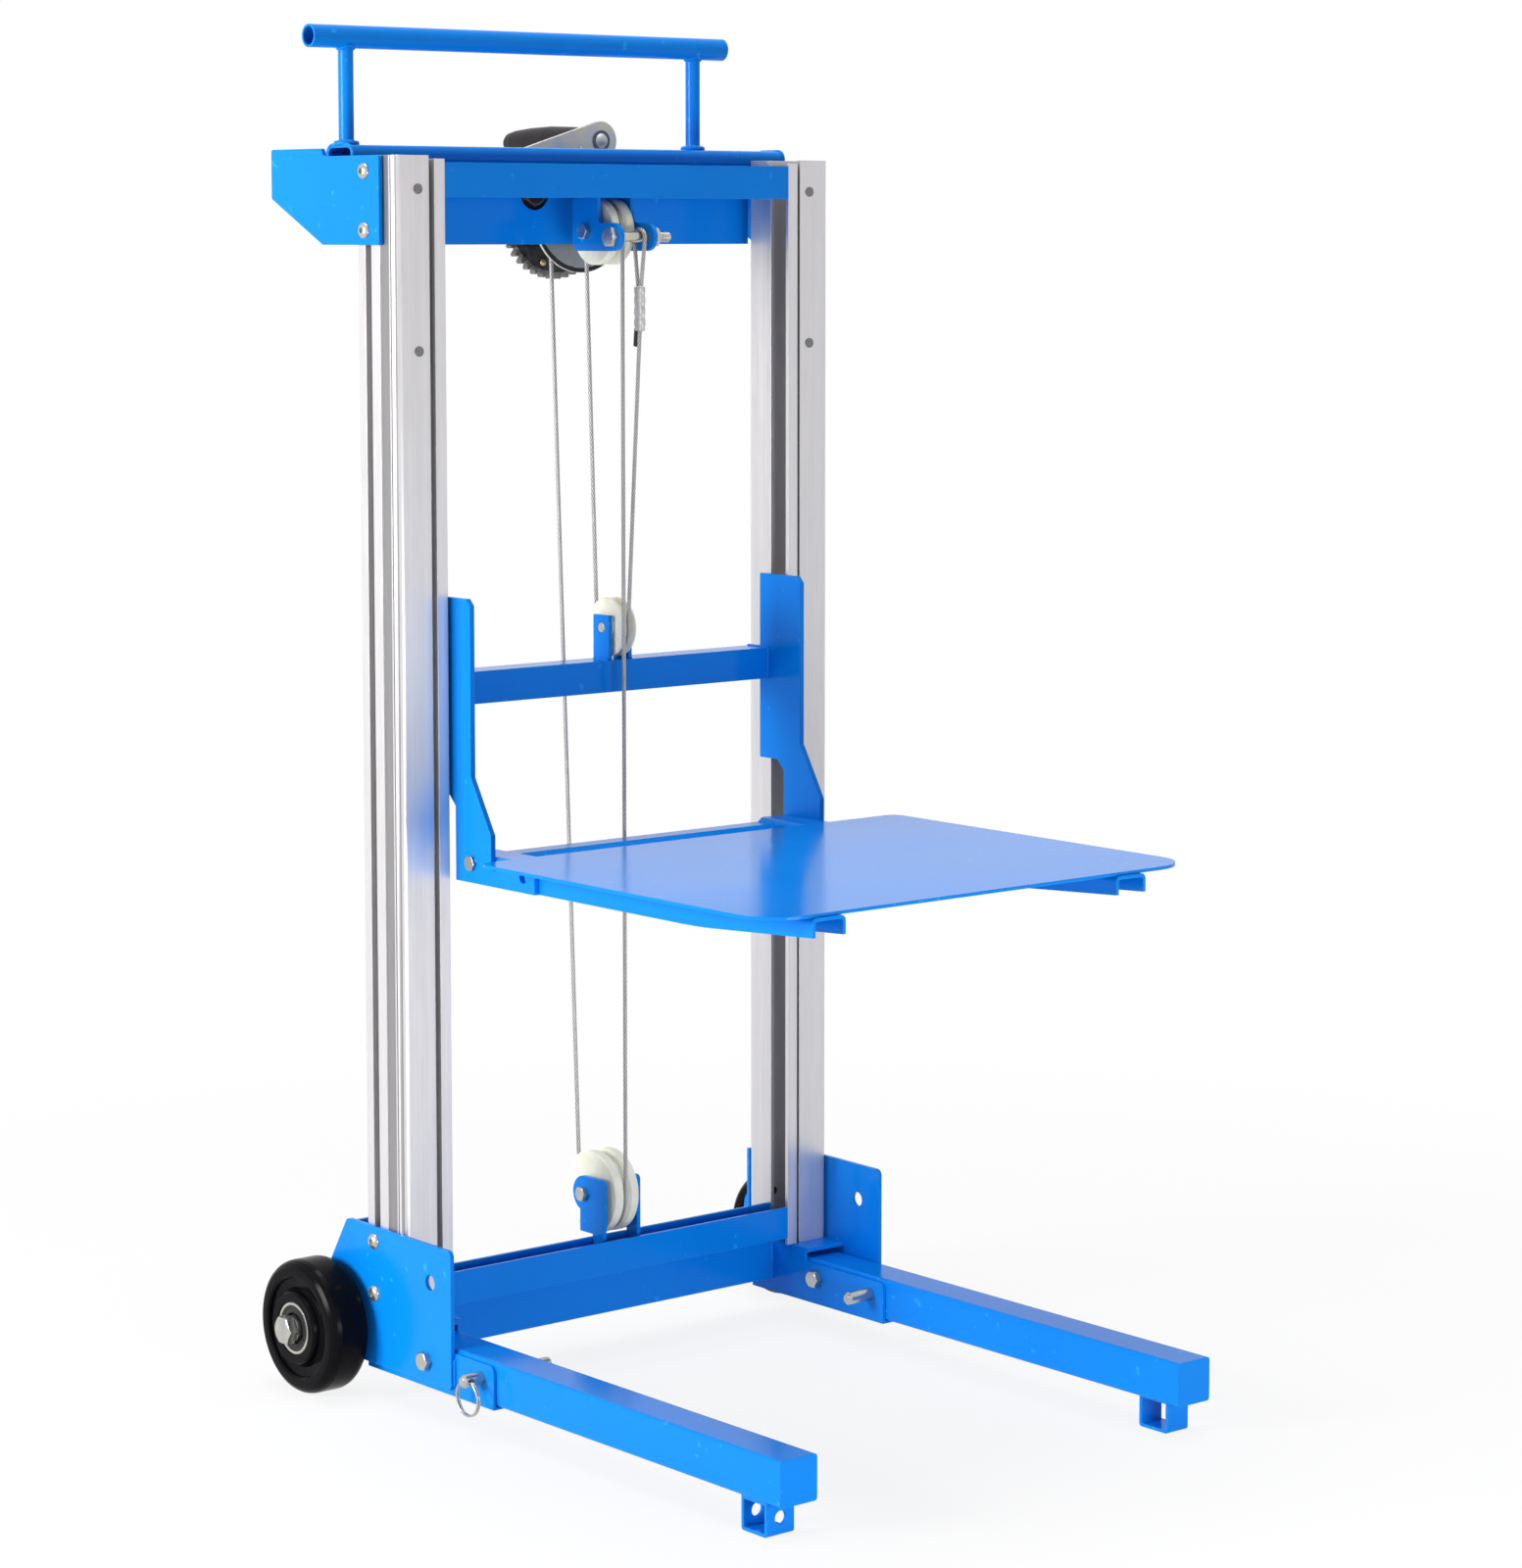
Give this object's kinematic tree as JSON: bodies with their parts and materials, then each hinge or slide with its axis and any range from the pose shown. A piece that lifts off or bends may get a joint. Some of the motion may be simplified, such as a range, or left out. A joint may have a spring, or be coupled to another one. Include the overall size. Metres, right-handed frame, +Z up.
{
  "type": "winch platform lift",
  "caption": "Hand-winch platform lift: a wheeled base with straight legs, a telescopic aluminium mast, a rope over nylon pulleys, and a carriage with forks under a flat platform.",
  "frame": {"origin": "on the floor, under the middle of the bounding box", "axes": "+Z up along the mast, +X across to the right, -Y forwards along the legs"},
  "size_m": [0.643, 0.88, 1.2575],
  "materials": {
    "blue_paint": "semi-gloss powder coat",
    "mast_aluminium": "satin anodised",
    "zinc_steel": "bright zinc plate",
    "nylon": "satin ivory nylon",
    "black_plastic": "satin black plastic",
    "wheel_rubber": "smooth black",
    "winch_black": "satin black",
    "wire_rope": "galvanised wire"
  },
  "bodies": {
    "base": {"mast_upright_left": "mast_aluminium", "mast_upright_right": "mast_aluminium", "slide_pads": "nylon", "head_side_plate_left": "blue_paint", "head_side_plate_right": "blue_paint", "head_tube": "blue_paint", "handle_posts": "blue_paint", "handle_bar": "blue_paint", "winch_panel": "blue_paint", "winch_frame": "winch_black", "winch_back_plate": "blue_paint", "base_side_plate_left": "blue_paint", "base_side_plate_right": "blue_paint", "base_cross_beam": "blue_paint", "leg_channel_left": "blue_paint", "leg_channel_right": "blue_paint", "leg_left": "blue_paint", "leg_right": "blue_paint", "axle_bolts": "zinc_steel", "side_plate_bolts": "zinc_steel"},
    "inner_mast": {"inner_upright_left": "mast_aluminium", "inner_upright_right": "mast_aluminium", "mast_top_bar": "blue_paint", "mast_bottom_channel": "blue_paint", "top_pulley_bracket": "blue_paint", "lower_pulley_bracket": "blue_paint", "pulley_bolts": "zinc_steel", "rope_mast_loop": "wire_rope", "rope_ferrule": "mast_aluminium", "rope_drum_run": "wire_rope"},
    "top_pulley": {"top_pulley": "nylon"},
    "lower_pulley": {"lower_pulley": "nylon"},
    "carriage": {"carriage_plate_left": "blue_paint", "carriage_plate_right": "blue_paint", "carriage_cross_tube": "blue_paint", "carriage_front_bar": "blue_paint", "carriage_pulley_bracket": "blue_paint", "carriage_pulley_axle": "zinc_steel", "slide_shoes": "nylon", "fork_left": "blue_paint", "fork_right": "blue_paint", "platform_plate": "blue_paint", "rope_carriage_wrap": "wire_rope", "rope_rear_fall": "wire_rope", "rope_front_fall": "wire_rope"},
    "carriage_pulley": {"carriage_pulley": "nylon"},
    "drum": {"winch_drum": "winch_black", "drum_gear": "winch_black", "rope_winding": "wire_rope"},
    "crank": {"pinion_shaft": "zinc_steel", "crank_arm": "zinc_steel", "grip_bolt": "zinc_steel"},
    "grip": {"crank_grip": "black_plastic"},
    "wheel_left": {"wheel_left": "wheel_rubber"},
    "wheel_right": {"wheel_right": "wheel_rubber"},
    "pin_left": {"locking_pin_left": "zinc_steel"},
    "pin_right": {"locking_pin_right": "zinc_steel"},
    "ring_left": {"pin_ring_left": "zinc_steel"},
    "ring_right": {"pin_ring_right": "zinc_steel"}
  },
  "joints": [
    {"name": "mast_slide", "type": "slide", "parent": "base", "child": "inner_mast", "axis": [0, 0, 1], "range_m": [0, 0.8], "deforming": ["rope_drum_run"]},
    {"name": "carriage_slide", "type": "slide", "parent": "inner_mast", "child": "carriage", "axis": [0, 0, 1], "range_m": [-0.42, 0.26], "deforming": ["rope_rear_fall", "rope_front_fall"]},
    {"name": "top_pulley_turn", "type": "hinge", "parent": "inner_mast", "child": "top_pulley", "pos_m": [0.003, 0.118, 1.072], "axis": [1, 0, 0], "continuous": true},
    {"name": "lower_pulley_turn", "type": "hinge", "parent": "inner_mast", "child": "lower_pulley", "pos_m": [0.003, 0.126, 0.158], "axis": [1, 0, 0], "continuous": true},
    {"name": "carriage_pulley_turn", "type": "hinge", "parent": "carriage", "child": "carriage_pulley", "pos_m": [0.0145, 0.122, 0.7], "axis": [1, 0, 0], "continuous": true},
    {"name": "drum_turn", "type": "hinge", "parent": "base", "child": "drum", "pos_m": [0.03609, 0.213, 1.089], "axis": [0, 1, 0], "continuous": true},
    {"name": "crank_turn", "type": "hinge", "parent": "base", "child": "crank", "pos_m": [-0.0424, 0.238, 1.109], "axis": [0, 1, 0], "continuous": true},
    {"name": "grip_spin", "type": "hinge", "parent": "crank", "child": "grip", "pos_m": [0.13001, 0.358, 1.16072], "axis": [0, 1, 0], "continuous": true},
    {"name": "wheel_left_roll", "type": "hinge", "parent": "base", "child": "wheel_left", "pos_m": [-0.285, 0.191, 0.0625], "axis": [1, 0, 0], "continuous": true},
    {"name": "wheel_right_roll", "type": "hinge", "parent": "base", "child": "wheel_right", "pos_m": [0.285, 0.191, 0.0625], "axis": [1, 0, 0], "continuous": true},
    {"name": "pin_left_pull", "type": "slide", "parent": "base", "child": "pin_left", "axis": [-1, 0, 0], "range_m": [0, 0.09]},
    {"name": "pin_right_pull", "type": "slide", "parent": "base", "child": "pin_right", "axis": [1, 0, 0], "range_m": [0, 0.09]},
    {"name": "ring_left_swing", "type": "hinge", "parent": "pin_left", "child": "ring_left", "pos_m": [-0.269, -0.029, 0.053], "axis": [0, 1, 0], "range_deg": [-15, 100]},
    {"name": "ring_right_swing", "type": "hinge", "parent": "pin_right", "child": "ring_right", "pos_m": [0.269, -0.029, 0.053], "axis": [0, -1, 0], "range_deg": [-15, 100]}
  ],
  "couplings": [
    {"joint": "drum_turn", "follows": "carriage_slide", "rad_per_m": 62.5},
    {"joint": "crank_turn", "follows": "carriage_slide", "rad_per_m": -178.57},
    {"joint": "top_pulley_turn", "follows": "carriage_slide", "rad_per_m": 71.429},
    {"joint": "lower_pulley_turn", "follows": "carriage_slide", "rad_per_m": 55.556},
    {"joint": "carriage_pulley_turn", "follows": "carriage_slide", "rad_per_m": 41.667}
  ]
}
